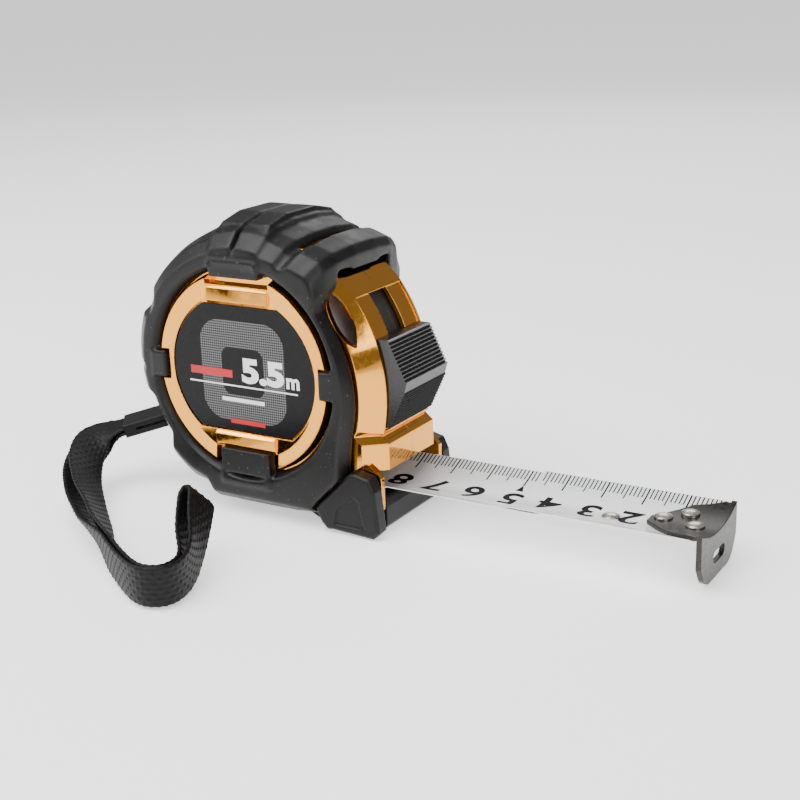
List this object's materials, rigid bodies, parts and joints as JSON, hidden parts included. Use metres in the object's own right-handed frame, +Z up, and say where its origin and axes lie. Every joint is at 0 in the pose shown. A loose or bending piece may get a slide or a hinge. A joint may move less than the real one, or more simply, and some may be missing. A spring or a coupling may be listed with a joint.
{
  "type": "tape measure",
  "caption": "Locking tape measure with a rubber-clad plated case, thumb lock, short length of blade out, end hook and a wrist strap lying beside it",
  "frame": {"origin": "on the surface the case stands on, directly under the reel's axis, in the plane where the two shells meet", "axes": "+X forward along the blade, +Y to the left across the case, +Z up"},
  "size_m": [0.1672, 0.0965, 0.0747],
  "materials": {
    "plated_shell": "gold-plated plastic, mirror gloss",
    "grip_rubber": "dark charcoal moulded rubber, fine grain",
    "label_print": "printed film, satin",
    "foot_rubber": "hard black rubber, satin",
    "black_plastic": "black plastic, satin",
    "button_plastic": "dark grey plastic, ribbed, satin",
    "grey_plastic": "grey-black plastic, satin",
    "brake_rubber": "grey rubber",
    "reel_plastic": "natural white plastic",
    "blade_enamel": "white enamel with black graduations",
    "hook_steel": "black nickel, semi-gloss",
    "rivet_steel": "nickel-plated steel",
    "spring_steel": "blued spring steel",
    "spindle_steel": "turned steel",
    "screw_steel": "zinc-plated steel",
    "buckle_plastic": "moulded black plastic, satin",
    "webbing": "coarse woven nylon webbing"
  },
  "bodies": {
    "case": {"case_right": "plated_shell", "case_left": "plated_shell", "grip_right": "grip_rubber", "grip_left": "grip_rubber", "label_right": "label_print", "label_left": "label_print", "foot_right": "foot_rubber", "foot_left": "foot_rubber", "lower_jaw": "black_plastic", "blade_lead": "blade_enamel", "mainspring": "spring_steel", "spindle": "spindle_steel", "case_screws": "screw_steel", "strap_pin": "screw_steel", "strap_loop": "black_plastic", "strap_buckle": "buckle_plastic", "wrist_strap": "webbing"},
    "reel": {"reel_hub": "reel_plastic", "reel_flange_right": "reel_plastic", "reel_flange_left": "reel_plastic", "tape_coil": "blade_enamel"},
    "tape": {"blade_front": "blade_enamel", "hook_rivets": "rivet_steel", "blade_rivet": "rivet_steel"},
    "tape_rear": {"blade_rear": "blade_enamel"},
    "end_hook": {"hook": "hook_steel"},
    "lock": {"lock_button": "button_plastic", "lock_band": "grey_plastic"},
    "brake": {"brake_pad": "brake_rubber"}
  },
  "joints": [
    {"name": "reel_spin", "type": "hinge", "parent": "case", "child": "reel", "pos_m": [0, 0, 0.0372], "axis": [0, 1, 0], "range_deg": [-23.5, 175.5]},
    {"name": "tape_pull", "type": "slide", "parent": "case", "child": "tape", "axis": [1, 0, 0], "range_m": [-0.0745, 0.01]},
    {"name": "tape_follow", "type": "slide", "parent": "case", "child": "tape_rear", "axis": [1, 0, 0], "range_m": [-0.03725, 0.005]},
    {"name": "hook_float", "type": "slide", "parent": "tape", "child": "end_hook", "axis": [1, 0, 0], "range_m": [-0.001, 0]},
    {"name": "lock_slide", "type": "hinge", "parent": "case", "child": "lock", "pos_m": [-0.00285, 0, 0.0335], "axis": [0, -1, 0], "range_deg": [0, 14]},
    {"name": "brake_lift", "type": "slide", "parent": "case", "child": "brake", "axis": [0, 0, 1], "range_m": [0, 0.0012]}
  ],
  "couplings": [
    {"joint": "tape_pull", "follows": "reel_spin", "m_per_rad": -0.0243},
    {"joint": "tape_follow", "follows": "reel_spin", "m_per_rad": -0.01215},
    {"joint": "brake_lift", "follows": "lock_slide", "m_per_rad": 0.0049}
  ]
}
